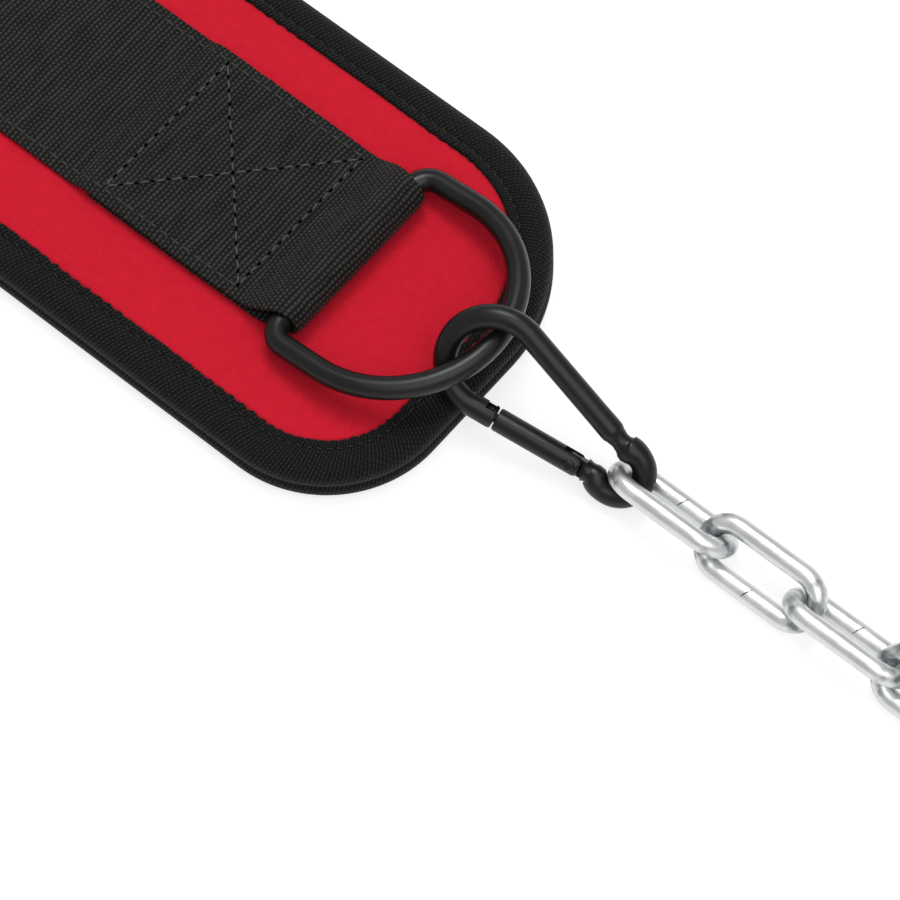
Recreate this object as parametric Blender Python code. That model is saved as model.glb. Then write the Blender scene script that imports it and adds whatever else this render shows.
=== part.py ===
"""A dip belt: a padded neoprene belt with a webbing strap, two D-rings, a snap hook and a chain.

Run with blender --background --python part.py. Lengths are metres and +Z is up.

The belt lies flat with its outer, red face up and its inner face on the surface below, z = 0. It runs
along X, and the hook and the chain leave its +X end. The origin is the middle of the inner face.

Each round thing is a wire: a list of points along its middle, each with its own radius, which tube_mesh
turns into a closed solid. The padding and its binding are sections swept round the belt's outline.
"""

from math import asin, atan2, cos, pi, radians, sin

import bmesh
import bpy
from mathutils import Matrix, Vector


# Room between pieces that touch on the real belt
GAP = 0.0003

# Belt outline
BELT_LENGTH = 0.788
NARROW_WIDTH = 0.101
WIDE_WIDTH = 0.152
WIDE_STRETCH = 0.188
SHOULDER_LENGTH = 0.053
CORNER_RADIUS = 0.037
# The sewn end by the hook is a little uneven in the photograph.
HOOK_END_LEFT_RADIUS = 0.042
HOOK_END_RIGHT_RADIUS = 0.031

# Padding, two layers of neoprene
INNER_LAYER = 0.00485
OUTER_LAYER = 0.00485
PADDING_EDGE_ROUND = 0.0016

# Binding tape folded round the edge
TAPE_THICKNESS = 0.0012
TAPE_COVER = 0.0096
TAPE_LIP = 0.0022
TAPE_LIP_RISE = 0.0004
TAPE_ROLL_RISE = 0.0005
TAPE_CREASE_DEPTH = 0.0007
TAPE_CREASE_HEIGHT = 0.0046

# Webbing strap
WEB_WIDTH = 0.0494
WEB_THICKNESS = 0.0016
WEB_SIDE_SHIFT = 0.0016
WEB_FOLD_INSET = 0.0382
WEB_RETURN = 0.062
WEB_PINCH = 0.0022
WEB_LAYER_GAP = 0.00015
WEB_LOOP_SLOPE = 0.013
WEB_STEP_LENGTH = 0.006
LOOP_PLAY = 0.00035

# D-rings
RING_WIRE = 0.0055
RING_OPENING = 0.0495
RING_STRAIGHT = 0.0152
RING_CORNER_RADIUS = 0.0048
RING_SIDE_PLAY = -0.0002
RING_LIFT_BY_HOOK = radians(8.4)
RING_WIRE_SIDES = 12

# Snap hook, 60 mm long, of 6 mm wire
HOOK_WIRE = 0.0056
HOOK_BIG_RADIUS = 0.0111
HOOK_EYE_RADIUS = 0.00585
HOOK_CENTRES = 0.0363
HOOK_EYE_SHIFT = 0.0050
HOOK_GATE_ANGLE = radians(21.0)
HOOK_NECK_RADIUS = 0.00265
HOOK_NECK_LENGTH = 0.0034
HOOK_WIRE_SIDES = 12
# The middle of the eye, out from the strap's fold, sideways and up, and the way the hook lies
HOOK_EYE_FROM_FOLD = 0.07536
HOOK_EYE_SIDE = 0.00066
HOOK_EYE_HEIGHT = 0.0079
HOOK_HEADING = radians(-4.4)
HOOK_RISE = radians(25.4)
HOOK_ROLL = radians(-42.0)

# Gate of the hook
GATE_WIDTH = 0.0056
GATE_NOSE_GAP = 0.0004
GATE_HEEL = 0.0028
GATE_NECK_RADIUS = 0.0011
GATE_NECK_LENGTH = 0.0015
GATE_HEAD_RADIUS = 0.0018
GATE_HEAD_LENGTH = 0.0014
TONGUE_THICKNESS = 0.0018
TONGUE_REACH = 0.0021
PIN_RADIUS = 0.0009
PIN_HEAD_RADIUS = 0.0014
PIN_HEAD_HEIGHT = 0.0004
PIN_PLAY = 0.00006
PIVOT_FROM_EYE = 0.0084
NOSE_FROM_PIVOT = 0.0196

# Chain, on the surface beside the belt
LINK_WIRE = 0.0048
LINK_INSIDE_LENGTH = 0.0249
LINK_INSIDE_WIDTH = 0.0071
LINK_COUNT = 4
LINK_ROLL = radians(45.0)
LINK_WIRE_SIDES = 6
LINK_BEND_STEPS = 6
# The first link's bend against the middle of the hook's eye, and the chain against it sideways
FIRST_BEND_SHIFT = -0.00005
CHAIN_SIDE_SHIFT = 0.0008

# Steps round the belt's outline
CORNER_STEPS = 7
SHOULDER_STEPS = 8

# Colours of the photograph: red, green, blue, then roughness and metallic
MATERIALS = {
    "red_neoprene": ((0.52, 0.012, 0.028), 0.85, 0.0),
    "black_neoprene": ((0.012, 0.012, 0.013), 0.8, 0.0),
    "black_tape": ((0.010, 0.010, 0.010), 0.75, 0.0),
    "black_webbing": ((0.012, 0.012, 0.012), 0.8, 0.0),
    "black_metal": ((0.012, 0.012, 0.012), 0.35, 0.6),
    "bright_zinc": ((0.75, 0.76, 0.76), 0.2, 1.0),
}

PADDING_TOP = INNER_LAYER + GAP + OUTER_LAYER
TAPE_TOP = PADDING_TOP + TAPE_ROLL_RISE
HALF_LENGTH = BELT_LENGTH / 2
RING_RADIUS = RING_WIRE / 2
RING_HALF = (RING_OPENING + RING_WIRE) / 2
RING_REACH = RING_STRAIGHT + RING_HALF
LOOP_RADIUS = RING_RADIUS + LOOP_PLAY + WEB_THICKNESS / 2
WEB_FOLD = HALF_LENGTH - WEB_FOLD_INSET
RING_BAR_X = WEB_FOLD - LOOP_RADIUS - WEB_THICKNESS / 2
WEB_LOW = PADDING_TOP + GAP + WEB_THICKNESS / 2
WEB_HIGH = WEB_LOW + WEB_THICKNESS + WEB_LAYER_GAP
RING_BAR_Z = WEB_LOW + LOOP_RADIUS
RING_Y = WEB_SIDE_SHIFT + RING_SIDE_PLAY
HOOK_EYE_PLACE = Vector((WEB_FOLD + HOOK_EYE_FROM_FOLD, HOOK_EYE_SIDE, HOOK_EYE_HEIGHT))


def clear_scene():
    """Empty the open scene."""
    for obj in list(bpy.data.objects):
        bpy.data.objects.remove(obj, do_unlink=True)


def make_material(name):
    """A Principled material of one of the colours above."""
    colour, roughness, metallic = MATERIALS[name]
    material = bpy.data.materials.new(name)
    material.use_nodes = True
    shader = material.node_tree.nodes["Principled BSDF"]
    shader.inputs["Base Color"].default_value = (*colour, 1.0)
    shader.inputs["Roughness"].default_value = roughness
    shader.inputs["Metallic"].default_value = metallic
    material.diffuse_color = (*colour, 1.0)
    return material


def add_object(name, mesh_data, material, parent):
    """A named object of a bmesh, with its faces turned outward."""
    bmesh.ops.recalc_face_normals(mesh_data, faces=mesh_data.faces)
    mesh = bpy.data.meshes.new(name)
    mesh_data.to_mesh(mesh)
    mesh_data.free()
    mesh.materials.append(material)
    obj = bpy.data.objects.new(name, mesh)
    bpy.context.scene.collection.objects.link(obj)
    obj.parent = parent
    return obj


def add_empty(name, parent, place):
    """An empty at a place under its parent, to hang pieces on."""
    empty = bpy.data.objects.new(name, None)
    empty.empty_display_size = 0.02
    bpy.context.scene.collection.objects.link(empty)
    empty.parent = parent
    empty.matrix_local = place
    return empty


def bridge_rings(bm, rings, closed):
    """Quads between neighbouring rings of vertices, and between the last and the first if closed."""
    count = len(rings[0])
    last = len(rings) if closed else len(rings) - 1
    for i in range(last):
        here = rings[i]
        there = rings[(i + 1) % len(rings)]
        for j in range(count):
            k = (j + 1) % count
            bm.faces.new((here[j], here[k], there[k], there[j]))


def tube_mesh(points, radii, sides, closed, plane_normal, turn=0.0):
    """A wire that lies in one plane: a ring of vertices round each point of its middle line."""
    bm = bmesh.new()
    rings = []
    count = len(points)
    for i, point in enumerate(points):
        before = points[i - 1] if closed or i > 0 else point
        after = points[(i + 1) % count] if closed or i < count - 1 else point
        along = (after - before).normalized()
        across = along.cross(plane_normal)
        leg = (point - before) if (point - before).length > 0 else (after - point)
        lean = max(0.5, abs(leg.normalized().dot(along)))
        ring = []
        for j in range(sides):
            angle = 2 * pi * j / sides + turn
            offset = across * (cos(angle) / lean) + plane_normal * sin(angle)
            ring.append(bm.verts.new(point + offset * radii[i]))
        rings.append(ring)
    bridge_rings(bm, rings, closed)
    if not closed:
        bm.faces.new(rings[0])
        bm.faces.new(rings[-1])
    return bm


def arc(centre, radius, start, end, steps):
    """Points of an arc in the plane, both ends included."""
    return [
        Vector((
            centre[0] + radius * cos(start + (end - start) * i / steps),
            centre[1] + radius * sin(start + (end - start) * i / steps),
        ))
        for i in range(steps + 1)
    ]


def smooth_share(t):
    """0 to 1 with level ends."""
    return (1 - cos(pi * min(1.0, max(0.0, t)))) / 2


def belt_outline():
    """The belt's outer edge as points and inward directions, anticlockwise seen from above."""
    narrow = NARROW_WIDTH / 2
    wide = WIDE_WIDTH / 2
    flat = WIDE_STRETCH / 2
    points = []

    def side(sign):
        """One long edge from the hook end to the far end, bulging at the middle."""
        edge = []
        for i in range(SHOULDER_STEPS + 1):
            t = i / SHOULDER_STEPS
            x = flat + SHOULDER_LENGTH * (1 - t)
            edge.append(Vector((x, sign * (narrow + (wide - narrow) * smooth_share(t)))))
        return edge + [Vector((-p.x, p.y)) for p in reversed(edge)]

    def corner(x_sign, y_sign, radius):
        """One rounded corner, from the long edge to the end."""
        centre = (x_sign * (HALF_LENGTH - radius), y_sign * (narrow - radius))
        start = y_sign * pi / 2
        end = 0.0 if x_sign > 0 else y_sign * pi
        return arc(centre, radius, start, end, CORNER_STEPS)

    points += list(reversed(corner(1, 1, HOOK_END_LEFT_RADIUS)))
    points += side(1)
    points += corner(-1, 1, CORNER_RADIUS)
    points += list(reversed(corner(-1, -1, CORNER_RADIUS)))
    points += list(reversed(side(-1)))
    points += corner(1, -1, HOOK_END_RIGHT_RADIUS)

    inward = []
    count = len(points)
    for i in range(count):
        before = (points[i] - points[i - 1]).normalized()
        after = (points[(i + 1) % count] - points[i]).normalized()
        along = (before + after).normalized()
        lean = along.dot(after)
        inward.append(Vector((-along.y, along.x)) / lean)
    return points, inward


def outline_ring(bm, outline, inset, height):
    """Vertices all round the belt at one inset and height."""
    points, inward = outline
    return [
        bm.verts.new((p.x + n.x * inset, p.y + n.y * inset, height))
        for p, n in zip(points, inward)
    ]


def panel_mesh(outline, rows):
    """A padding layer: rows of inset and height round the edge, closed by a flat face at each end."""
    bm = bmesh.new()
    rings = [outline_ring(bm, outline, inset, height) for inset, height in rows]
    bridge_rings(bm, rings, False)
    bm.faces.new(rings[0])
    bm.faces.new(rings[-1])
    return bm


def padding_rows(face, shelf, middle, toward_face):
    """The edge of a padding layer, from its middle joint out to the side and in under the tape."""
    side = TAPE_THICKNESS + TAPE_CREASE_DEPTH + GAP
    bare = TAPE_COVER + GAP
    round_height = shelf - toward_face * PADDING_EDGE_ROUND
    return [
        (side, middle),
        (side, round_height),
        (side + PADDING_EDGE_ROUND, shelf),
        (bare, shelf),
        (bare, face),
    ]


def build_padding(outline, parent):
    """The two layers of neoprene, one over the other."""
    buried = TAPE_THICKNESS + GAP
    inner = padding_rows(0.0, buried, INNER_LAYER, -1)
    outer = padding_rows(PADDING_TOP, PADDING_TOP - buried, INNER_LAYER + GAP, 1)
    black = make_material("black_neoprene")
    red = make_material("red_neoprene")
    add_object("inner_panel", panel_mesh(outline, inner), black, parent)
    add_object("outer_panel", panel_mesh(outline, outer), red, parent)


def binding_section():
    """The tape's section as inset and height: its outside from the top lip to the bottom, and back."""
    wall = TAPE_THICKNESS
    cover = TAPE_COVER
    side = TAPE_CREASE_DEPTH
    seat = PADDING_TOP
    stitch = cover - TAPE_LIP
    shoulder = 0.0024
    low_top = TAPE_CREASE_HEIGHT
    outside = [
        (cover, seat + TAPE_LIP_RISE),
        (stitch + 0.0006, seat + TAPE_LIP_RISE),
        (stitch - 0.0002, seat),
        (stitch - 0.0012, TAPE_TOP),
        (shoulder + 0.001, TAPE_TOP),
        (0.0012, TAPE_TOP - 0.0012),
        (0.0002, TAPE_TOP - 0.0032),
        (0.0003, low_top + 0.0011),
        (side, low_top),
        (0.0, low_top - 0.0010),
        (0.0, 0.0016),
        (0.0008, 0.0004),
        (0.0024, 0.0),
        (cover, 0.0),
    ]
    inner_wall = wall + side
    round_in = PADDING_EDGE_ROUND
    top_in = PADDING_TOP - wall
    inside = [
        (cover, wall),
        (inner_wall + round_in - GAP, wall),
        (inner_wall, wall + round_in - GAP),
        (inner_wall, top_in - round_in + GAP),
        (inner_wall + round_in - GAP, top_in),
        (cover, top_in),
    ]
    return outside + inside


def build_binding(outline, parent):
    """The tape folded round the belt's whole edge."""
    bm = bmesh.new()
    rings = [outline_ring(bm, outline, inset, height) for inset, height in binding_section()]
    bridge_rings(bm, rings, True)
    add_object("edge_binding", bm, make_material("black_tape"), parent)


def strap_half():
    """Half of the strap's middle line, as x and z from the end sewn under to the belt's middle."""
    bar = (RING_BAR_X, RING_BAR_Z)
    sewn_end = WEB_FOLD - WEB_RETURN
    step_end = sewn_end - GAP
    path = [Vector((sewn_end, WEB_LOW)), Vector((RING_BAR_X - WEB_LOOP_SLOPE, WEB_LOW))]
    path += arc(bar, LOOP_RADIUS, -pi / 2, pi / 2, 10)
    top = RING_BAR_Z + LOOP_RADIUS
    for i in range(1, 9):
        t = i / 8
        path.append(Vector((
            RING_BAR_X - WEB_LOOP_SLOPE * t,
            top + (WEB_HIGH - top) * smooth_share(t),
        )))
    for i in range(5):
        t = i / 4
        path.append(Vector((
            step_end - WEB_STEP_LENGTH * t,
            WEB_HIGH + (WEB_LOW - WEB_HIGH) * smooth_share(t),
        )))
    return path


def strap_path():
    """The strap's middle line from one sewn end to the other."""
    half = strap_half()
    return half + [Vector((-p.x, p.y)) for p in reversed(half)]


def build_strap(parent):
    """The webbing, one ribbon with a loop for a D-ring at each end."""
    path = strap_path()
    bm = bmesh.new()
    rings = []
    for i, point in enumerate(path):
        before = path[max(0, i - 1)]
        after = path[min(len(path) - 1, i + 1)]
        along = (after - before).normalized()
        across = Vector((-along.y, along.x)) * WEB_THICKNESS / 2
        to_fold = WEB_FOLD - abs(point.x)
        half = WEB_WIDTH / 2 - WEB_PINCH * smooth_share(1 - to_fold / WEB_LOOP_SLOPE)
        corners = []
        for side, face in ((-1, -1), (1, -1), (1, 1), (-1, 1)):
            place = point + across * face
            corners.append(bm.verts.new((place.x, WEB_SIDE_SHIFT + side * half, place.y)))
        rings.append(corners)
    bridge_rings(bm, rings, False)
    bm.faces.new(rings[0])
    bm.faces.new(rings[-1])
    add_object("webbing_strap", bm, make_material("black_webbing"), parent)


def ring_points():
    """A D-ring's middle line: its bar on Y through the origin, its bow toward +X."""
    straight_bar = RING_HALF - RING_CORNER_RADIUS
    points = [Vector((0, -straight_bar)), Vector((0, 0)), Vector((0, straight_bar))]
    upper = (RING_CORNER_RADIUS, straight_bar)
    points += arc(upper, RING_CORNER_RADIUS, pi, pi / 2, 5)[1:]
    points += arc((RING_STRAIGHT, 0), RING_HALF, pi / 2, -pi / 2, 24)
    lower = (RING_CORNER_RADIUS, -straight_bar)
    points += arc(lower, RING_CORNER_RADIUS, -pi / 2, -pi, 5)[:-1]
    return [Vector((p.x, p.y, 0)) for p in points]


def build_ring(name, place, material, parent):
    """A D-ring whose bar is at its empty's origin."""
    empty = add_empty(name + "_bar", parent, place)
    points = ring_points()
    radii = [RING_RADIUS] * len(points)
    bm = tube_mesh(points, radii, RING_WIRE_SIDES, True, Vector((0, 0, 1)))
    add_object(name, bm, material, empty)


def build_rings(metal, parent):
    """The ring that the hook lifts, and the free ring that lies on the far end's binding."""
    lift = Matrix.Rotation(-RING_LIFT_BY_HOOK, 4, "Y")
    right = Matrix.Translation((RING_BAR_X, RING_Y, RING_BAR_Z)) @ lift
    build_ring("d_ring_right", right, metal, parent)
    drop = asin((RING_BAR_Z - TAPE_TOP - GAP - RING_RADIUS) / RING_REACH)
    turned = Matrix.Rotation(pi, 4, "Z") @ Matrix.Rotation(drop, 4, "Y")
    left = Matrix.Translation((-RING_BAR_X, RING_Y, RING_BAR_Z)) @ turned
    build_ring("d_ring_left", left, metal, parent)


def hook_place():
    """The hook's place: its own X runs from the eye to the big end, its Y from the spine to the gate."""
    heading = Matrix.Rotation(pi + HOOK_HEADING, 4, "Z")
    rise = Matrix.Rotation(-HOOK_RISE, 4, "Y")
    roll = Matrix.Rotation(HOOK_ROLL, 4, "X")
    return Matrix.Translation(HOOK_EYE_PLACE) @ heading @ rise @ roll


def gate_line():
    """The gate's middle line in the hook's plane: a point by the big end and the way to the eye."""
    big = Vector((HOOK_CENTRES, HOOK_BIG_RADIUS - HOOK_EYE_SHIFT))
    away = HOOK_GATE_ANGLE + pi / 2
    start = big + Vector((cos(away), sin(away))) * HOOK_BIG_RADIUS
    return start, Vector((-cos(HOOK_GATE_ANGLE), -sin(HOOK_GATE_ANGLE)))


def gate_pivot():
    """The middle of the gate's pin in the hook's plane."""
    start, way = gate_line()
    return start + way * ((start.x - PIVOT_FROM_EYE) / cos(HOOK_GATE_ANGLE))


def hook_points():
    """The hook's middle line from its nose round the big end, down the spine and round the eye."""
    way = gate_line()[1]
    pivot = gate_pivot()
    nose = pivot - way * NOSE_FROM_PIVOT
    wire = HOOK_WIRE / 2
    spine = -HOOK_EYE_SHIFT
    big = (HOOK_CENTRES, HOOK_BIG_RADIUS + spine)
    points = [nose, nose - way * 0.0016]
    points += arc(big, HOOK_BIG_RADIUS, HOOK_GATE_ANGLE + pi / 2, -pi / 2, 16)
    radii = [wire * 0.93] + [wire] * (len(points) - 1)
    neck = HOOK_EYE_RADIUS * 0.55
    points += [
        Vector((neck + HOOK_NECK_LENGTH, spine)),
        Vector((neck + HOOK_NECK_LENGTH / 2, spine)),
    ]
    radii += [wire, HOOK_NECK_RADIUS]
    eye = arc((0.0, 0.0), HOOK_EYE_RADIUS, -pi / 2 + 0.5, -3 * pi / 2 - 0.45, 14)
    points += eye
    radii += [wire] * len(eye)
    heel = pivot + way * (GATE_HEEL + 0.0008)
    points += [heel + way * 0.0011, heel]
    radii += [HOOK_NECK_RADIUS, GATE_WIDTH / 2]
    return points, radii


def flat(points):
    """Points of the hook's plane in space."""
    return [Vector((p.x, p.y, 0)) for p in points]


def box_mesh(middle, along, size):
    """A box with its length along a way in the hook's plane."""
    bm = bmesh.new()
    turn = Matrix.Rotation(atan2(along.y, along.x), 4, "Z")
    stretch = Matrix.Diagonal((*size, 1.0))
    place = Matrix.Translation((middle.x, middle.y, 0)) @ turn @ stretch
    bmesh.ops.create_cube(bm, size=1.0, matrix=place)
    return bm


def cylinder_mesh(middle, radius, height, sides):
    """A cylinder across the hook's plane."""
    bm = bmesh.new()
    bmesh.ops.create_cone(
        bm, cap_ends=True, segments=sides, radius1=radius, radius2=radius, depth=height,
        matrix=Matrix.Translation((middle.x, middle.y, 0)),
    )
    return bm


def combine(obj, other_mesh, operation):
    """Cut a shape out of an object, or join it on, and leave one plain mesh."""
    material = obj.data.materials[0]
    other = add_object("tool_shape", other_mesh, material, obj.parent)
    modifier = obj.modifiers.new(operation, "BOOLEAN")
    modifier.operation = operation
    modifier.solver = "EXACT"
    modifier.object = other
    bpy.context.view_layer.update()
    graph = bpy.context.evaluated_depsgraph_get()
    result = bpy.data.meshes.new_from_object(obj.evaluated_get(graph))
    obj.modifiers.clear()
    obj.data = result
    bpy.data.objects.remove(other, do_unlink=True)


def build_hook_body(metal, holder):
    """The hook's wire, with the slot for the gate's head and the tongue for its pin."""
    points, radii = hook_points()
    up = Vector((0, 0, 1))
    bm = tube_mesh(flat(points), radii, HOOK_WIRE_SIDES, False, up, pi / HOOK_WIRE_SIDES)
    body = add_object("hook_body", bm, metal, holder)
    add_tongue(body)
    cut_nose(body)


def add_tongue(body):
    """The flat end of the wire that goes into the gate's fork, with a hole for the pin."""
    way = gate_line()[1]
    pivot = gate_pivot()
    length = GATE_HEEL + 0.0018
    tongue = box_mesh(pivot + way * (length / 2), way, (length, 2 * TONGUE_REACH, TONGUE_THICKNESS))
    combine(body, tongue, "UNION")
    combine(body, cylinder_mesh(pivot, TONGUE_REACH + 0.0001, TONGUE_THICKNESS - 0.0001, 16), "UNION")
    hole = (PIN_RADIUS + PIN_PLAY) / cos(pi / 12)
    combine(body, cylinder_mesh(pivot, hole, HOOK_WIRE, 12), "DIFFERENCE")


def cut_nose(body):
    """The slot in the nose, open toward the spine, that takes the gate's neck and its wider head."""
    way = gate_line()[1]
    nose = gate_pivot() - way * NOSE_FROM_PIVOT
    inward = Vector((-way.y, way.x))
    deep = HOOK_WIRE
    neck_wall = GATE_NECK_RADIUS + 2 * GAP
    head_wall = GATE_HEAD_RADIUS + GAP
    neck_end = GATE_NECK_LENGTH - GATE_NOSE_GAP
    pocket_length = GATE_HEAD_LENGTH + 2 * GAP
    neck_slot = nose - way * (neck_end / 2 - 0.001) + inward * (deep / 2 - neck_wall)
    neck_size = (neck_end + 0.002, deep, 2 * (GATE_NECK_RADIUS + GAP))
    combine(body, box_mesh(neck_slot, way, neck_size), "DIFFERENCE")
    pocket = nose - way * (neck_end - GAP + pocket_length / 2) + inward * (deep / 2 - head_wall)
    pocket_size = (pocket_length, deep, 2 * (GATE_HEAD_RADIUS + GAP))
    combine(body, box_mesh(pocket, way, pocket_size), "DIFFERENCE")


def gate_sections():
    """The gate as distances from its pin toward the nose, each with a radius."""
    radius = GATE_WIDTH / 2
    end = NOSE_FROM_PIVOT - GATE_NOSE_GAP
    neck = end + GATE_NECK_LENGTH
    return [
        (-GATE_HEEL, radius * 0.57),
        (-GATE_HEEL * 0.86, radius * 0.82),
        (-GATE_HEEL * 0.5, radius),
        (end - 0.0003, radius),
        (end, radius * 0.9),
        (end, GATE_NECK_RADIUS),
        (neck, GATE_NECK_RADIUS),
        (neck, GATE_HEAD_RADIUS),
        (neck + GATE_HEAD_LENGTH, GATE_HEAD_RADIUS),
    ]


def build_gate(metal, holder):
    """The gate, turning on its pin at its empty's origin: its own X points at the nose."""
    pivot = gate_pivot()
    turn = Matrix.Rotation(HOOK_GATE_ANGLE, 4, "Z")
    hinge = add_empty("gate_hinge", holder, Matrix.Translation((pivot.x, pivot.y, 0)) @ turn)
    bm = bmesh.new()
    sides = HOOK_WIRE_SIDES
    rings = []
    for along, radius in gate_sections():
        ring = []
        for j in range(sides):
            angle = 2 * pi * (j + 0.5) / sides
            ring.append(bm.verts.new((along, radius * cos(angle), radius * sin(angle))))
        rings.append(ring)
    bridge_rings(bm, rings, False)
    bm.faces.new(rings[0])
    bm.faces.new(rings[-1])
    gate = add_object("hook_gate", bm, metal, hinge)
    slot_width = TONGUE_THICKNESS + 2 * GAP
    slot_length = GATE_HEEL + TONGUE_REACH + 2 * GAP + 0.001
    slot_end = TONGUE_REACH + GAP + 0.0001
    slot = box_mesh(
        Vector((slot_end - slot_length / 2, 0)), Vector((1, 0)), (slot_length, 2 * GATE_WIDTH, slot_width)
    )
    combine(gate, slot, "DIFFERENCE")
    hole = (PIN_RADIUS + PIN_PLAY) / cos(pi / 12)
    combine(gate, cylinder_mesh(Vector((0, 0)), hole, 2 * GATE_WIDTH, 12), "DIFFERENCE")


def build_pin(metal, holder):
    """The rivet through the gate and the tongue, with a low head at each end."""
    pivot = gate_pivot()
    bm = bmesh.new()
    sides = 12
    side = GATE_WIDTH / 2 + GAP
    top = side + PIN_HEAD_HEIGHT
    rings = []
    for height, radius in (
        (-top, PIN_HEAD_RADIUS * 0.7), (-side, PIN_HEAD_RADIUS), (-side, PIN_RADIUS),
        (side, PIN_RADIUS), (side, PIN_HEAD_RADIUS), (top, PIN_HEAD_RADIUS * 0.7),
    ):
        rings.append([
            bm.verts.new((
                pivot.x + radius * cos(2 * pi * j / sides),
                pivot.y + radius * sin(2 * pi * j / sides),
                height,
            ))
            for j in range(sides)
        ])
    bridge_rings(bm, rings, False)
    bm.faces.new(rings[0])
    bm.faces.new(rings[-1])
    add_object("gate_pin", bm, metal, holder)


def link_points():
    """A link's middle line, lying in XY with its length on X."""
    wire = LINK_WIRE / 2
    radius = LINK_INSIDE_WIDTH / 2 + wire
    bend = LINK_INSIDE_LENGTH / 2 + wire - radius
    points = arc((bend, 0), radius, -pi / 2, pi / 2, LINK_BEND_STEPS)
    points += arc((-bend, 0), radius, pi / 2, 3 * pi / 2, LINK_BEND_STEPS)
    return [Vector((p.x, p.y, 0)) for p in points]


def build_chain(parent):
    """The links, each rolled the other way from the one before, on the surface beside the belt."""
    metal = make_material("bright_zinc")
    wire = LINK_WIRE / 2
    half_width = LINK_INSIDE_WIDTH / 2 + wire
    half_length = LINK_INSIDE_LENGTH / 2 + wire
    height = half_width * sin(LINK_ROLL) + wire
    first_bend = HOOK_EYE_PLACE.x + FIRST_BEND_SHIFT
    side = HOOK_EYE_PLACE.y + CHAIN_SIDE_SHIFT
    for number in range(LINK_COUNT):
        x = first_bend + half_length + number * (LINK_INSIDE_LENGTH - GAP)
        roll = LINK_ROLL if number % 2 else -LINK_ROLL
        turn = Matrix.Rotation(roll, 4, "X")
        place = Matrix.Translation((x, side, height)) @ turn
        name = f"chain_link_{number + 1}"
        empty = add_empty(name + "_middle", parent, place)
        points = link_points()
        bm = tube_mesh(points, [wire] * len(points), LINK_WIRE_SIDES, True, Vector((0, 0, 1)))
        add_object(name, bm, metal, empty)


def main():
    """Build the belt."""
    clear_scene()
    belt = add_empty("belt_middle", None, Matrix.Identity(4))
    outline = belt_outline()
    build_padding(outline, belt)
    build_binding(outline, belt)
    build_strap(belt)
    metal = make_material("black_metal")
    build_rings(metal, belt)
    holder = add_empty("hook_eye", belt, hook_place())
    build_hook_body(metal, holder)
    build_gate(metal, holder)
    build_pin(metal, holder)
    build_chain(belt)


main()
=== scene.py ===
"""The looks of the dip belt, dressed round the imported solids.

Lengths are metres. The belt lies along X with its outer, red face up, as in the solids, and every piece
takes the place of the solid it names. Sizes that the solids have are repeated here by the same names.
"""

from math import asin, atan2, ceil, cos, exp, floor, pi, radians, sin

import bmesh
import bpy
from mathutils import Matrix, Vector, noise

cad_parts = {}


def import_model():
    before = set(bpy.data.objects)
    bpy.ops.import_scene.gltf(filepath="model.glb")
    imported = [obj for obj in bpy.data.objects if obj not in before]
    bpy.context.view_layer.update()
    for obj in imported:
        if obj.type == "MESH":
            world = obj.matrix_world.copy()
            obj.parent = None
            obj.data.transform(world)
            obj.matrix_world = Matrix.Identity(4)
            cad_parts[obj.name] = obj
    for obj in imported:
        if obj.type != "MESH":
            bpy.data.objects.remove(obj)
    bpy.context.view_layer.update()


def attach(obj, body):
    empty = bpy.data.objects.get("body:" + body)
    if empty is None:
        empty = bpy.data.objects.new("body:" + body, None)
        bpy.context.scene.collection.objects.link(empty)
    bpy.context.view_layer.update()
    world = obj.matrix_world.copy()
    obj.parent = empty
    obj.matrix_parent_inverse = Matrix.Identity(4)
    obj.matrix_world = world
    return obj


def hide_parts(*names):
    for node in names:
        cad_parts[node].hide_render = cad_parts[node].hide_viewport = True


# Sizes of the solids
GAP = 0.0003
BELT_LENGTH = 0.788
NARROW_WIDTH = 0.101
WIDE_WIDTH = 0.152
WIDE_STRETCH = 0.188
SHOULDER_LENGTH = 0.053
CORNER_RADIUS = 0.037
HOOK_END_LEFT_RADIUS = 0.042
HOOK_END_RIGHT_RADIUS = 0.031
INNER_LAYER = 0.00485
OUTER_LAYER = 0.00485
TAPE_THICKNESS = 0.0012
TAPE_COVER = 0.0096
TAPE_LIP = 0.0022
TAPE_LIP_RISE = 0.0004
TAPE_ROLL_RISE = 0.0005
TAPE_CREASE_DEPTH = 0.0007
TAPE_CREASE_HEIGHT = 0.0046
WEB_WIDTH = 0.0494
WEB_THICKNESS = 0.0016
WEB_SIDE_SHIFT = 0.0016
WEB_FOLD_INSET = 0.0382
WEB_RETURN = 0.062
WEB_PINCH = 0.0022
WEB_LAYER_GAP = 0.00015
WEB_LOOP_SLOPE = 0.013
WEB_STEP_LENGTH = 0.006
LOOP_PLAY = 0.00035
RING_WIRE = 0.0055
RING_OPENING = 0.0495
RING_STRAIGHT = 0.0152
RING_CORNER_RADIUS = 0.0048
RING_SIDE_PLAY = -0.0002
RING_LIFT_BY_HOOK = radians(8.4)
HOOK_WIRE = 0.0056
HOOK_BIG_RADIUS = 0.0111
HOOK_EYE_RADIUS = 0.00585
HOOK_CENTRES = 0.0363
HOOK_EYE_SHIFT = 0.0050
HOOK_GATE_ANGLE = radians(21.0)
HOOK_NECK_RADIUS = 0.00265
HOOK_NECK_LENGTH = 0.0034
HOOK_EYE_PLACE = Vector((0.43116, 0.00066, 0.0079))
HOOK_HEADING = radians(-4.4)
HOOK_RISE = radians(25.4)
HOOK_ROLL = radians(-42.0)
GATE_WIDTH = 0.0056
GATE_NOSE_GAP = 0.0004
GATE_HEEL = 0.0028
GATE_NECK_RADIUS = 0.0011
GATE_NECK_LENGTH = 0.0015
GATE_HEAD_RADIUS = 0.0018
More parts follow.
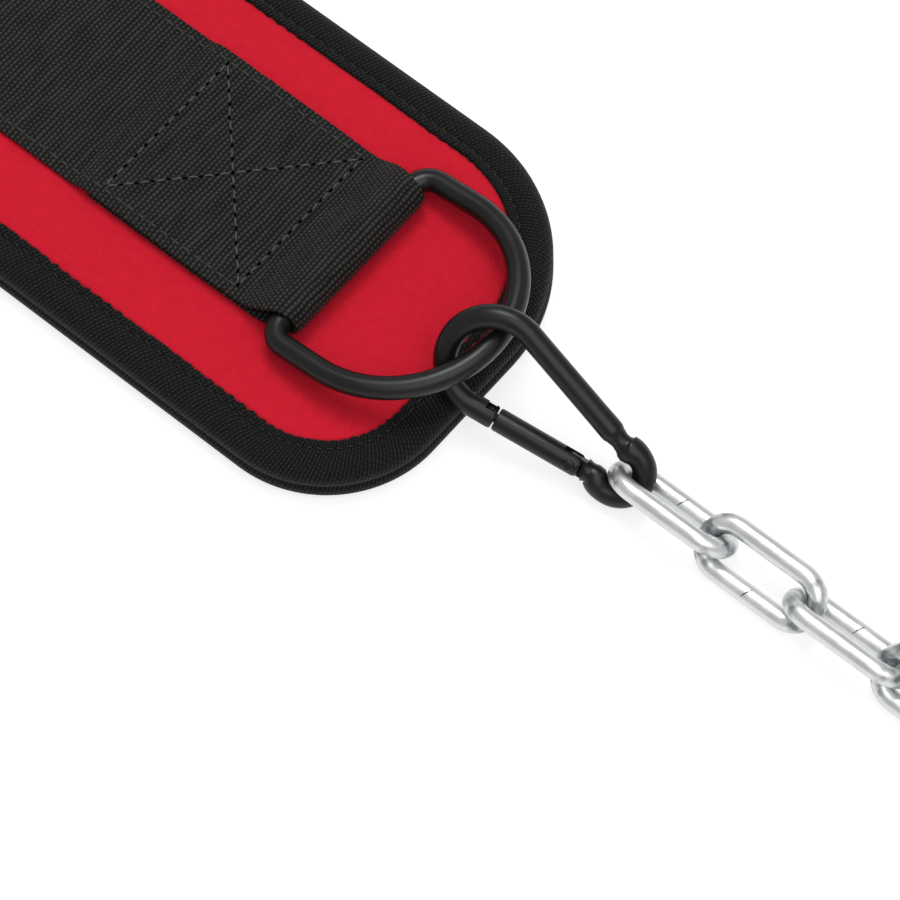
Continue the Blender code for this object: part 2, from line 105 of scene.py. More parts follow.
GATE_HEAD_LENGTH = 0.0014
TONGUE_THICKNESS = 0.0018
TONGUE_REACH = 0.0021
PIN_RADIUS = 0.0009
PIN_HEAD_RADIUS = 0.0014
PIN_HEAD_HEIGHT = 0.0004
PIVOT_FROM_EYE = 0.0084
NOSE_FROM_PIVOT = 0.0196
LINK_WIRE = 0.0048
LINK_INSIDE_LENGTH = 0.0249
LINK_INSIDE_WIDTH = 0.0071
LINK_COUNT = 4
LINK_ROLL = radians(45.0)
FIRST_BEND_SHIFT = -0.00005
CHAIN_SIDE_SHIFT = 0.0008

PADDING_TOP = INNER_LAYER + GAP + OUTER_LAYER
TAPE_TOP = PADDING_TOP + TAPE_ROLL_RISE
HALF_LENGTH = BELT_LENGTH / 2
RING_RADIUS = RING_WIRE / 2
RING_HALF = (RING_OPENING + RING_WIRE) / 2
RING_REACH = RING_STRAIGHT + RING_HALF
LOOP_RADIUS = RING_RADIUS + LOOP_PLAY + WEB_THICKNESS / 2
WEB_FOLD = HALF_LENGTH - WEB_FOLD_INSET
RING_BAR_X = WEB_FOLD - LOOP_RADIUS - WEB_THICKNESS / 2
WEB_LOW = PADDING_TOP + GAP + WEB_THICKNESS / 2
WEB_HIGH = WEB_LOW + WEB_THICKNESS + WEB_LAYER_GAP
RING_BAR_Z = WEB_LOW + LOOP_RADIUS
RING_Y = WEB_SIDE_SHIFT + RING_SIDE_PLAY
LINK_RADIUS = LINK_WIRE / 2
LINK_HALF_WIDTH = LINK_INSIDE_WIDTH / 2 + LINK_RADIUS
LINK_HALF_LENGTH = LINK_INSIDE_LENGTH / 2 + LINK_RADIUS
UP = Vector((0, 0, 1))
MM = 1000

# Sewing
OUTLINE_STEP = 0.0016
BOX_NEAR = 0.0188
BOX_FAR = 0.0594
BOX_HALF = 0.0215
BOX_STITCH = 0.0036
BOX_STITCH_SHOWN = 0.66
BOX_STITCH_LIFT = 0.00026
BOX_STITCH_WANDER = 0.0002
EDGE_STITCH = 0.0034
EDGE_STITCH_SHOWN = 0.76
EDGE_STITCH_LIFT = 0.0002
EDGE_STITCH_WANDER = 0.0003
EDGE_STITCH_INSET = 0.0026
EDGE_STITCH_SINK = 0.00006
TAPE_STITCH = 0.0031
TAPE_STITCH_SHOWN = 0.72
TAPE_STITCH_LIFT = 0.00014
TAPE_STITCH_LOW = 0.00016
TAPE_THREAD_RADIUS = 0.0002
THREAD_RADIUS = 0.00026
STITCH_SINK = 0.00005
STITCH_STEPS = 6
HOLE_RADIUS = 0.00036
HOLE_SINK = 0.0001
HOLE_RISE = 0.00013

# Cloth
KNIT_PITCH = 0.62
KNIT_SHEEN = 0.05
SEAM_ASIDE = 0.045
PANEL_BARE = TAPE_COVER + 0.0006
PANEL_SHARES = (0.0, 0.02, 0.05, 0.1, 0.17, 0.26, 0.37, 0.5, 0.64, 0.8)
SPINE_STEP = 0.004
TAPE_ROLL_END = 0.004
LIP_DRIFT = 0.00035
LIP_RAGGED = 0.00022
LIP_PUCKER = 0.00028
TAPE_PUCKER = 0.00024
TAPE_SWELL = 0.0002
WEB_COLUMNS = 22
WEB_EDGE = 0.0011
WEB_SELVEDGE = 0.0032
FRAY = 0.00016
LOOP_EASE = 0.0002
LOOP_EASE_END = 0.032
LOOP_EASE_LENGTH = 0.012
FRAY_START = 0.02
FRAY_FADE = 0.015

# Wires and welds
HOOK_STEP = 0.0006
HOOK_SIDES = 32
PIN_SIDES = 24
RING_SIDES = 28
LINK_SIDES = 22
# Where the painted dark reflections in the links' bends begin, and how far they fade in
BEND_START = 0.0095
BEND_FADE = 0.003
WELD_HALF_SWEEP = radians(38)
WELD_LEAN = -0.0007
WELD_RADIUS = 0.00018
WELD_RAGGED = 0.00015
WELD_STEPS = 6

# Plain surfaces: roughness, metallic and specular, the grain's scale and detail, and two colours
GRAINED = {
    "strap_thread": ((0.5, 0.0, 0.25), (2600.0, 2.0), (0.012,) * 3, (0.075, 0.075, 0.071)),
    "edge_thread": ((0.5, 0.0, 0.25), (2600.0, 2.0), (0.004,) * 3, (0.040, 0.040, 0.037)),
    "tape_thread": ((0.5, 0.0, 0.25), (2600.0, 2.0), (0.002,) * 3, (0.014, 0.014, 0.0135)),
    # The needle holes' near-black is painted shade.
    "needle_hole_shade": ((0.95, 0.0, 0.0), (1800.0, 2.0), (0.0004,) * 3, (0.0016,) * 3),
    "weld_seam": ((0.55, 0.8, 0.5), (2200.0, 3.0), (0.02,) * 3, (0.14,) * 3),
}


def node(tree, kind, **settings):
    """A shader node with its properties set."""
    made = tree.nodes.new(kind)
    for name, value in settings.items():
        setattr(made, name, value)
    return made


def fill(made, values):
    """Set a node's own inputs by name."""
    for name, value in values.items():
        made.inputs[name].default_value = value


def math(tree, operation, first, second=None, third=None):
    """A Math node's result, from sockets or numbers."""
    made = node(tree, "ShaderNodeMath", operation=operation)
    for place, value in enumerate((first, second, third)):
        if value is None:
            continue
        if isinstance(value, (int, float)):
            made.inputs[place].default_value = value
        else:
            tree.links.new(value, made.inputs[place])
    return made.outputs[0]


def times(tree, first, second):
    """A product of sockets or numbers."""
    return math(tree, "MULTIPLY", first, second)


def scaled(tree, value, factor, plus):
    """A value times a factor, with something added."""
    return math(tree, "MULTIPLY_ADD", value, factor, plus)


def map_range(tree, value, low, high, to_low=0.0, to_high=1.0):
    """A clamped Map Range node's result."""
    made = node(tree, "ShaderNodeMapRange", clamp=True, interpolation_type="SMOOTHSTEP")
    tree.links.new(value, made.inputs["Value"])
    fill(made, {"From Min": low, "From Max": high, "To Min": to_low, "To Max": to_high})
    return made.outputs["Result"]


def mix_colour(tree, share, first, second):
    """A Mix node of two colours."""
    made = node(tree, "ShaderNodeMix", data_type="RGBA")
    tree.links.new(share, made.inputs["Factor"])
    for place, value in ((6, first), (7, second)):
        if isinstance(value, tuple):
            made.inputs[place].default_value = (*value, 1.0)
        else:
            tree.links.new(value, made.inputs[place])
    return made.outputs[2]


def noise_value(tree, vector, scale, detail=2.0, roughness=0.5):
    """A Noise texture's value."""
    made = node(tree, "ShaderNodeTexNoise")
    fill(made, {"Scale": scale, "Detail": detail, "Roughness": roughness})
    tree.links.new(vector, made.inputs["Vector"])
    return made.outputs["Fac"]


def bump(tree, height, distance, strength=1.0, normal=None):
    """A Bump node's normal."""
    made = node(tree, "ShaderNodeBump")
    fill(made, {"Strength": strength, "Distance": distance})
    tree.links.new(height, made.inputs["Height"])
    if normal is not None:
        tree.links.new(normal, made.inputs["Normal"])
    return made.outputs["Normal"]


def new_material(name, roughness, metallic=0.0, specular=0.5, sheen=0.0, sheen_roughness=0.5):
    """A Principled material and its tree and shader."""
    material = bpy.data.materials.new(name)
    material.use_nodes = True
    tree = material.node_tree
    shader = tree.nodes["Principled BSDF"]
    fill(shader, {"Roughness": roughness, "Metallic": metallic, "Specular IOR Level": specular})
    fill(shader, {"Sheen Weight": sheen, "Sheen Roughness": sheen_roughness})
    return material, tree, shader


def parts(tree, vector):
    """A vector's first two coordinates."""
    split = node(tree, "ShaderNodeSeparateXYZ")
    tree.links.new(vector, split.inputs["Vector"])
    return split.outputs["X"], split.outputs["Y"]


def uv_parts(tree):
    """The UV coordinates, which are millimetres on the cloth, together and apart."""
    uv = node(tree, "ShaderNodeUVMap", uv_map="UVMap").outputs["UV"]
    return uv, *parts(tree, uv)


def wave(tree, value, pitch, shift=0.0):
    """A wave from 0 to 1 of one pitch along a coordinate."""
    angle = scaled(tree, value, 2 * pi / pitch, shift)
    return scaled(tree, math(tree, "SINE", angle), 0.5, 0.5)


def object_noise(tree, scale, detail=2.0, roughness=0.5):
    """A Noise texture's value at the object's own coordinates."""
    place = node(tree, "ShaderNodeTexCoord").outputs["Object"]
    return noise_value(tree, place, scale, detail, roughness)


def paint(tree, shader, share, first, second):
    """Set a shader's colour to a mix of two."""
    tree.links.new(mix_colour(tree, share, first, second), shader.inputs["Base Color"])


def emboss(tree, shader, height, distance, strength=1.0, normal=None):
    """Set a shader's normal from a height."""
    tree.links.new(bump(tree, height, distance, strength, normal), shader.inputs["Normal"])


def knit_material(name, dark, light):
    """Fine jersey over neoprene: wales along the belt, courses across, and a soft mottle."""
    material, tree, shader = new_material(name, 0.85, 0.0, 0.12, KNIT_SHEEN, 0.45)
    uv, u, v = uv_parts(tree)
    wobble = times(tree, noise_value(tree, uv, 0.9, 1.0), 0.25)
    wale = wave(tree, math(tree, "ADD", v, wobble), KNIT_PITCH)
    course = wave(tree, math(tree, "ADD", u, wobble), KNIT_PITCH * 0.8)
    loops = times(tree, wale, scaled(tree, course, 0.55, 0.45))
    mottle = noise_value(tree, uv, 0.35, 4.0, 0.65)
    tone_and_painted_shade = scaled(tree, loops, 0.45, times(tree, mottle, 0.5))
    # Painted shade: the colour is lighter on the knit's loops and darker between them, and the mottle gives
    # it an uneven tone.
    paint(tree, shader, tone_and_painted_shade, dark, light)
    emboss(tree, shader, scaled(tree, mottle, 0.5, loops), 0.00007, 0.8)
    return material, tree, shader


def inner_knit_material():
    """The smooth black inner face, with two lengthwise seams in the wide part."""
    material, tree, shader = knit_material(
        "inner_neoprene_knit", (0.0085, 0.0085, 0.0095), (0.021, 0.021, 0.023)
    )
    place = node(tree, "ShaderNodeTexCoord").outputs["Object"]
    aside = math(tree, "ABSOLUTE", parts(tree, place)[1])
    off = math(tree, "ABSOLUTE", math(tree, "SUBTRACT", aside, SEAM_ASIDE))
    seam = map_range(tree, off, 0.0001, 0.0009, 1.0, 0.0)
    old = shader.inputs["Normal"].links[0].from_socket
    emboss(tree, shader, times(tree, seam, -1.0), 0.0004, 1.0, old)
    base = shader.inputs["Base Color"].links[0].from_socket
    paint(tree, shader, seam, base, (0.003,) * 3)
    return material


def weave_height(tree, across, along, low, along_share):
    """A weave's height: cords across the cloth that pass over and under cords along it."""
    sine_u = math(tree, "SINE", across)
    sine_v = math(tree, "SINE", along)
    over = scaled(tree, times(tree, sine_u, sine_v), 0.5, 0.5)
    lifted = scaled(tree, over, 1 - low, low)
    first = times(tree, math(tree, "ABSOLUTE", sine_u), lifted)
    under = math(tree, "SUBTRACT", 1.0, over)
    second = times(tree, math(tree, "ABSOLUTE", sine_v), under)
    return math(tree, "MAXIMUM", first, times(tree, second, along_share))


def tape_material():
    """Fine plain weave, whose ribs across the tape are the stronger and lean a little."""
    material, tree, shader = new_material("woven_tape", 0.68, 0.0, 0.10, 0.05, 0.4)
    uv, u, v = uv_parts(tree)
    wobble = times(tree, noise_value(tree, uv, 0.35, 2.0), 0.9)
    lean = scaled(tree, v, 0.4, u)
    across = times(tree, math(tree, "ADD", lean, wobble), pi / 0.98)
    along = times(tree, v, pi / 0.52)
    height = weave_height(tree, across, along, 0.3, 0.7)
    mottle = noise_value(tree, uv, 1.4, 3.0, 0.6)
    tone_and_painted_shade = times(tree, height, scaled(tree, mottle, 0.9, 0.35))
    share = map_range(tree, tone_and_painted_shade, 0.22, 0.8)
    # Painted shade: the colour is darkest in the weave's hollows and lightest on the cords' tops, unevenly
    # toned by the mottle.
    paint(tree, shader, share, (0.0006,) * 3, (0.0175, 0.0175, 0.0165))
    emboss(tree, shader, height, 0.00022)
    return material


def webbing_material():
    """Coarse plain weave, whose cords across the strap are the stronger and of uneven tone, with shade
    painted in its hollows.
    """
    material, tree, shader = new_material("webbing_weave", 0.62, 0.0, 0.12, 0.04, 0.4)
    uv, u, v = uv_parts(tree)
    drift = scaled(tree, noise_value(tree, uv, 0.12, 2.0), 1.1, u)
    across = times(tree, drift, pi / 1.18)
    along = times(tree, v, pi / 0.56)
    height = weave_height(tree, across, along, 0.38, 0.5)
    fibre = noise_value(tree, uv, 3.1, 3.0, 0.7)
    stretch = node(tree, "ShaderNodeVectorMath", operation="MULTIPLY")
    stretch.inputs[1].default_value = (1.0, 0.12, 1.0)
    tree.links.new(uv, stretch.inputs[0])
    band = noise_value(tree, stretch.outputs["Vector"], 0.75, 2.0, 0.6)
    uneven = scaled(tree, band, 1.3, -0.15)
    tone_and_painted_shade = times(tree, height, scaled(tree, fibre, 0.9, uneven))
    share = map_range(tree, tone_and_painted_shade, 0.22, 0.85)
    # Painted shade: the colour is darkest in the weave's hollows and lightest on the cords' tops, unevenly
    # toned along the cords.
    paint(tree, shader, share, (0.0006, 0.0006, 0.0005), (0.0305, 0.0305, 0.0275))
    emboss(tree, shader, scaled(tree, fibre, 0.15, height), 0.0003)
    return material


def grained(name):
    """A plain surface of thread, weld or a needle hole's painted shade, with a fine grain in its colour."""
    looks, grain, dark, light = GRAINED[name]
    material, tree, shader = new_material(name, *looks)
    paint(tree, shader, object_noise(tree, *grain), dark, light)
    return material


def black_metal_material():
    """Satin black coating, a little uneven."""
    material, tree, shader = new_material("satin_black_coating", 0.4, 0.0, 0.27)
    broad = object_noise(tree, 90.0, 3.0, 0.6)
    tree.links.new(map_range(tree, broad, 0.3, 0.7, 0.28, 0.37), shader.inputs["Roughness"])
    paint(tree, shader, broad, (0.0035, 0.0035, 0.0033), (0.0065, 0.0065, 0.0061))
    emboss(tree, shader, object_noise(tree, 1500.0), 0.00002, 0.5)
    return material


def zinc_material():
    """Bright zinc plate, with dark reflections painted into its colour in streaks at the bends."""
    material, tree, shader = new_material("bright_zinc_plate", 0.3, 0.9, 0.5)
    broad = object_noise(tree, 160.0, 4.0, 0.6)
    tree.links.new(map_range(tree, broad, 0.3, 0.75, 0.30, 0.42), shader.inputs["Roughness"])
    plate = mix_colour(tree, broad, (0.54, 0.555, 0.56), (0.77, 0.78, 0.78))
    # Painted reflection: dark blue-grey streaks in the colour at the links' bends stand for the dark
    # reflections there.
    bend_reflection_mask = node(tree, "ShaderNodeAttribute", attribute_name="bend").outputs["Fac"]
    streak = map_range(tree, object_noise(tree, 300.0), 0.44, 0.72, 0.0, 0.8)
    paint(tree, shader, times(tree, bend_reflection_mask, streak), plate, (0.055, 0.065, 0.075))
    emboss(tree, shader, object_noise(tree, 1400.0, 3.0, 0.6), 0.000004, 0.2)
    return material


def bridge_rings(bm, rings, closed):
    """Quads between neighbouring rings of vertices, and between the last and the first if closed."""
    following = rings[1:] + rings[:1] if closed else rings[1:]
    for here, there in zip(rings, following):
        for j in range(len(here)):
            k = (j + 1) % len(here)
            bm.faces.new((here[j], here[k], there[k], there[j]))


def close_rings(bm, rings):
    """A solid of rings of vertices: quads between them and a face on each end."""
    bridge_rings(bm, rings, False)
    bm.faces.new(rings[0])
    bm.faces.new(rings[-1])


def oval_ring(bm, middle, first, second, sides):
    """A ring of vertices round a point, by its two half axes."""
    ring = []
    for j in range(sides):
        angle = 2 * pi * j / sides
        ring.append(bm.verts.new(middle + first * cos(angle) + second * sin(angle)))
    return ring


def tube_mesh(points, radii, sides, closed, plane_normal, turn=0.0):
    """A wire that lies in one plane: a ring of vertices round each point of its middle line."""
    bm = bmesh.new()
    rings = []
    count = len(points)
    for i, point in enumerate(points):
        before = points[i - 1] if closed or i > 0 else point
        after = points[(i + 1) % count] if closed or i < count - 1 else point
        along = (after - before).normalized()
        across = along.cross(plane_normal)
        leg = (point - before) if (point - before).length > 0 else (after - point)
        lean = max(0.5, abs(leg.normalized().dot(along)))
        ring = []
        for j in range(sides):
            angle = 2 * pi * j / sides + turn
            offset = across * (cos(angle) / lean) + plane_normal * sin(angle)
            ring.append(bm.verts.new(point + offset * radii[i]))
        rings.append(ring)
    if closed:
        bridge_rings(bm, rings, True)
    else:
        close_rings(bm, rings)
    return bm


def arc(centre, radius, start, end, steps):
    """Points of an arc in the plane, both ends included."""
    points = []
    for i in range(steps + 1):
        angle = start + (end - start) * i / steps
        points.append(Vector((centre[0] + radius * cos(angle), centre[1] + radius * sin(angle))))
    return points


def running_length(points):
    """The distance along a line at each of its points."""
    travel = [0.0]
    for here, there in zip(points, points[1:]):
        travel.append(travel[-1] + (there - here).length)
    return travel


def smooth_share(t):
    """0 to 1 with level ends."""
    return (1 - cos(pi * min(1.0, max(0.0, t)))) / 2


def link_object(name, data):
    """An object of a mesh, light or camera, in the scene."""
    obj = bpy.data.objects.new(name, data)
    bpy.context.scene.collection.objects.link(obj)
    return obj


def mesh_object(name, bm, place=None):
    """An object of a bmesh. Its normals are set outward first, since a moved bmesh keeps old ones."""
    bmesh.ops.recalc_face_normals(bm, faces=bm.faces)
    if place is not None:
        bm.transform(place)
    mesh = bpy.data.meshes.new(name)
    bm.to_mesh(mesh)
    bm.free()
    return link_object(name, mesh)


def finish_piece(name, bm, material, body, replaces=(), place=None, sharp=None):
    """A smooth-shaded object of a bmesh that rides on a body and stands for solids."""
    obj = mesh_object(name, bm, place)
    obj.data.materials.append(material)
    obj.data.shade_smooth()
    if sharp is not None:
        obj.data.set_sharp_from_angle(angle=sharp)
    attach(obj, body)
    if replaces:
        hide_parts(*replaces)
    return obj


def belt_outline():
    """The belt's outer edge as evenly spaced points, inward ways and distances along it."""
    narrow = NARROW_WIDTH / 2
    wide = WIDE_WIDTH / 2
    flat_half = WIDE_STRETCH / 2
    steps = 24

    def side(sign):
        """One long edge from the hook end to the far end, bulging at the middle."""
        edge = []
        for i in range(steps + 1):
            t = i / steps
            x = flat_half + SHOULDER_LENGTH * (1 - t)
            edge.append(Vector((x, sign * (narrow + (wide - narrow) * smooth_share(t)))))
        return edge + [Vector((-p.x, p.y)) for p in reversed(edge)]

    def corner(x_sign, y_sign, radius):
        """One rounded corner, from the long edge to the end."""
        centre = (x_sign * (HALF_LENGTH - radius), y_sign * (narrow - radius))
        start = y_sign * pi / 2
        end = 0.0 if x_sign > 0 else y_sign * pi
        return arc(centre, radius, start, end, 40)

    points = list(reversed(corner(1, 1, HOOK_END_LEFT_RADIUS)))
    points += side(1)
    points += corner(-1, 1, CORNER_RADIUS)
    points += list(reversed(corner(-1, -1, CORNER_RADIUS)))
    points += list(reversed(side(-1)))
    points += corner(1, -1, HOOK_END_RIGHT_RADIUS)
    points.append(points[0])
    lengths = running_length(points)
    total = lengths[-1]
    count = round(total / OUTLINE_STEP)
    distances = [total * n / count for n in range(count)]
    even = []
    k = 0
    for want in distances:
        while lengths[k + 1] < want:
            k += 1
        span = lengths[k + 1] - lengths[k]
        share = (want - lengths[k]) / span if span > 0 else 0.0
        even.append(points[k].lerp(points[k + 1], share))
    inward = []
    for i in range(count):
        along = (even[(i + 1) % count] - even[i - 1]).normalized()
        inward.append(Vector((-along.y, along.x)))
    return even, inward, distances, total


def lip_wave(distance):
    """How far the tape's inner edge wanders, from its puckers at the stitches and a slow drift."""
    slow = noise.noise(Vector((distance * 60.0, 3.1, 0.0))) * LIP_DRIFT
    quick = noise.noise(Vector((distance * 420.0, 9.7, 0.0))) * LIP_RAGGED
    beat = 0.6 + 0.8 * noise.noise(Vector((distance * 90.0, 6.2, 0.0)))
    return slow + quick + LIP_PUCKER * beat * sin(2 * pi * distance / TAPE_STITCH)


def tape_section():
    """The tape's section as inset and height, rounder than the solid's."""
    seat = PADDING_TOP
    stitch = TAPE_COVER - TAPE_LIP
    wall = TAPE_THICKNESS
    top = TAPE_TOP
    crease = TAPE_CREASE_HEIGHT
    outside = [
        (TAPE_COVER, seat - 0.0002),
        (TAPE_COVER - 0.0001, seat + TAPE_LIP_RISE * 0.7),
        (TAPE_COVER - 0.0005, seat + TAPE_LIP_RISE),
        (stitch + 0.0008, seat + TAPE_LIP_RISE * 0.95),
        (stitch + 0.0003, seat + 0.0001),
        (stitch, seat - 0.0003),
        (stitch - 0.0004, seat + 0.0001),
        (stitch - 0.0011, top - 0.00015),
        (stitch - 0.0022, top),
        (0.0036, top - 0.0001),
        (0.0022, top - 0.0005),
        (0.0011, top - 0.0013),
        (0.0004, top - 0.0023),
        (0.0001, top - 0.0035),
        (0.0002, crease + 0.0014),
        (0.0004, crease + 0.0007),
        (TAPE_CREASE_DEPTH + 0.0002, crease),
        (0.0003, crease - 0.0006),
        (0.0, crease - 0.0014),
        (0.0, 0.0018),
        (0.0005, 0.0008),
        (0.0014, 0.0002),
        (0.0026, 0.0),
        (stitch - 0.0005, 0.0),
        (stitch, 0.0003),
        (stitch + 0.0005, 0.0),
        (TAPE_COVER - 0.0002, 0.0),
        (TAPE_COVER, 0.0003),
    ]
    inner = wall + TAPE_CREASE_DEPTH
    under = seat - wall
    inside = [(TAPE_COVER, wall), (inner, wall), (inner, under), (TAPE_COVER, under)]
    return outside, inside


def build_tape(outline, material):
    """The binding tape round the whole edge, puckered at its stitches, with UVs in millimetres."""
    points, inward, distances, total = outline
    outside, inside = tape_section()
    section = outside + inside
    wide = len(section)
    reach = running_length([Vector(p) for p in section + section[:1]])
    bm = bmesh.new()
    layer = bm.loops.layers.uv.new("UVMap")
    rings = []
    for p, n, s in zip(points, inward, distances):
        wander = lip_wave(s)
        pucker = TAPE_PUCKER * sin(2 * pi * s / TAPE_STITCH)
        swell = noise.noise(Vector((s * 35.0, 0.0, 5.0))) * TAPE_SWELL
        ring = []
        for index, (inset, height) in enumerate(section):
            share = max(0.0, (inset - TAPE_ROLL_END) / (TAPE_COVER - TAPE_ROLL_END))
            inset += wander * share
            if index < len(outside) and height > PADDING_TOP - 0.001:
                height += pucker * share + swell * (1 - share)
            ring.append(bm.verts.new((p.x + n.x * inset, p.y + n.y * inset, height)))
        rings.append(ring)
    for i, (s0, s1) in enumerate(zip(distances, distances[1:] + [total])):
        here = rings[i]
        there = rings[(i + 1) % len(rings)]
        for j in range(wide):
            k = (j + 1) % wide
            v0, v1 = reach[j:j + 2]
            face = bm.faces.new((here[j], here[k], there[k], there[j]))
            for loop, (s, v) in zip(face.loops, ((s0, v0), (s0, v1), (s1, v1), (s1, v0))):
                loop[layer].uv = (s * MM, v * MM)
    return finish_piece("binding_tape", bm, material, "belt", ["edge_binding"])


def panel_height(x, y, edge_distance, top):
    """The lie of a padding face: sunk at the tape, with faint dents."""
    dent = noise.noise(Vector((x * 22.0, y * 26.0, 1.0 if top else 8.0))) * 0.00022
    sunk = 0.0005 * exp(-max(0.0, edge_distance) / 0.0022)
    return -sunk + dent - 0.0001


def build_panel(name, outline, material, top, replaced):
    """One padding layer: its face from the tape to the middle, its edge under the tape."""
    points, inward = (values[::2] for values in outline[:2])
    face = PADDING_TOP if top else 0.0
    middle = INNER_LAYER + GAP if top else INNER_LAYER
    toward = 1 if top else -1
    side = TAPE_THICKNESS + TAPE_CREASE_DEPTH + GAP
    buried = face - toward * (TAPE_THICKNESS + GAP)
    spine = HALF_LENGTH - NARROW_WIDTH / 2
    bm = bmesh.new()
    layer = bm.loops.layers.uv.new("UVMap")

    def inset_points(inset):
        """The outline's points, moved inward."""
        return [Vector((p.x + n.x * inset, p.y + n.y * inset)) for p, n in zip(points, inward)]

    def face_vertex(x, y, edge):
        """A vertex of the face at a distance from the tape."""
        return bm.verts.new((x, y, face + toward * panel_height(x, y, edge, top)))

    def spine_x(p):
        """Where a point of the edge meets the panel's middle line."""
        return min(spine, max(-spine, p.x))

    rings = []
    for inset, height in (
        (PANEL_BARE, middle),
        (side, middle),
        (side + 0.0004, buried - toward * 0.0012),
        (side + 0.0016, buried),
        (PANEL_BARE - 0.0008, buried),
    ):
        rings.append([bm.verts.new((p.x, p.y, height)) for p in inset_points(inset)])
    start = inset_points(PANEL_BARE - 0.0006)
    for share in PANEL_SHARES:
        ring = []
        for p in start:
            place = p.lerp(Vector((spine_x(p), 0.0)), share)
            ring.append(face_vertex(place.x, place.y, (place - p).length))
        rings.append(ring)
    bridge_rings(bm, rings, False)
    bm.faces.new(rings[0])

    hearts = {}
    for j, p in enumerate(start):
        k = (j + 1) % len(start)
        corners = [rings[-1][j], rings[-1][k]]
        for q in (start[k], p):
            key = round(spine_x(q) / SPINE_STEP)
            if key not in hearts:
                hearts[key] = face_vertex(key * SPINE_STEP, 0.0, spine)
            if hearts[key] not in corners:
                corners.append(hearts[key])
        bm.faces.new(corners)
    bmesh.ops.triangulate(bm, faces=[f for f in bm.faces if len(f.verts) > 4])
    for polygon in bm.faces:
        for loop in polygon.loops:
            loop[layer].uv = (loop.vert.co.x * MM, loop.vert.co.y * MM)
    panel = finish_piece(name, bm, material, "belt", [replaced])
    return panel


def lead(path, x, z, steps, eased=False):
    """Carry a line on to a place in even steps of x, straight or with level ends."""
    start = path[-1].copy()
    for i in range(1, steps + 1):
        t = i / steps
        rise = smooth_share(t) if eased else t
        path.append(Vector((start.x + (x - start.x) * t, start.y + (z - start.y) * rise)))


def strap_half():
    """Half of the strap's middle line, as x and z from the end sewn under to the belt's middle."""
    step_end = WEB_FOLD - WEB_RETURN - GAP
    path = [Vector((WEB_FOLD - WEB_RETURN, WEB_LOW))]
    lead(path, RING_BAR_X - WEB_LOOP_SLOPE, WEB_LOW, 17)
    lead(path, RING_BAR_X - WEB_LOOP_SLOPE / 2, WEB_LOW, 1)
    path += arc((RING_BAR_X, RING_BAR_Z), LOOP_RADIUS, -pi / 2, pi / 2, 18)
    lead(path, RING_BAR_X - WEB_LOOP_SLOPE, WEB_HIGH, 14, True)
    lead(path, step_end, WEB_HIGH, 17)
    lead(path, step_end - WEB_STEP_LENGTH, WEB_LOW, 6, True)
    lead(path, 0.0, WEB_LOW, 70)
    return path


def web_fullness(edge):
    """The share of the strap's thickness at a distance from its edge, fullest at the selvedge."""
    if edge < WEB_EDGE:
        return 0.45 + 0.5 * edge / WEB_EDGE
    return 0.95 if edge < WEB_SELVEDGE else 0.93


def build_webbing(material):
    """The strap: one woven ribbon, looped round the rings' bars, with frayed edges."""
    half_path = strap_half()
    path = half_path + [Vector((-p.x, p.y)) for p in reversed(half_path[:-1])]
    travel = running_length(path)
    columns = [(side, -1) for side in range(WEB_COLUMNS + 1)]
    columns += [(side, 1) for side in range(WEB_COLUMNS, -1, -1)]
    bm = bmesh.new()
    layer = bm.loops.layers.uv.new("UVMap")
    rings = []
    for i, point in enumerate(path):
        along = (path[min(len(path) - 1, i + 1)] - path[max(0, i - 1)]).normalized()
        normal = Vector((-along.y, along.x))
        to_fold = WEB_FOLD - abs(point.x)
        half = WEB_WIDTH / 2 - WEB_PINCH * smooth_share(1 - to_fold / WEB_LOOP_SLOPE)
        half -= LOOP_EASE * smooth_share((LOOP_EASE_END - to_fold) / LOOP_EASE_LENGTH)
        fray_share = FRAY * smooth_share((to_fold - FRAY_START) / FRAY_FADE)
        ring = []
        for side, face in columns:
            t = side / WEB_COLUMNS * 2 - 1
            thick = WEB_THICKNESS / 2 * web_fullness((1 - abs(t)) * half)
            place = point + normal * thick * face
            y = WEB_SIDE_SHIFT + t * half
            if side in (0, WEB_COLUMNS):
                y += noise.noise(Vector((travel[i] * 300.0, t * 2.0, 4.0))) * fray_share
            ring.append(bm.verts.new((place.x, y, place.y)))
        rings.append(ring)
    for i in range(len(rings) - 1):
        for j in range(len(columns)):
            k = (j + 1) % len(columns)
            face = bm.faces.new((rings[i][j], rings[i][k], rings[i + 1][k], rings[i + 1][j]))
            for loop, end in zip(face.loops, (i, i, i + 1, i + 1)):
                loop[layer].uv = (travel[end] * MM, loop.vert.co.y * MM)
    bm.faces.new(rings[0])
    bm.faces.new(rings[-1])
    return finish_piece(
        "strap_webbing", bm, material, "belt", ["webbing_strap"], sharp=radians(55)
    )


def ring_points(steps):
    """A D-ring's middle line: its bar on Y through the origin, its bow toward +X."""
    straight_bar = RING_HALF - RING_CORNER_RADIUS
    points = [Vector((0, -straight_bar)), Vector((0, 0)), Vector((0, straight_bar))]
    upper = (RING_CORNER_RADIUS, straight_bar)
    points += arc(upper, RING_CORNER_RADIUS, pi, pi / 2, 10)[1:]
    points += arc((RING_STRAIGHT, 0), RING_HALF, pi / 2, -pi / 2, steps)
    lower = (RING_CORNER_RADIUS, -straight_bar)
    points += arc(lower, RING_CORNER_RADIUS, -pi / 2, -pi, 10)[:-1]
    return [p.to_3d() for p in points]


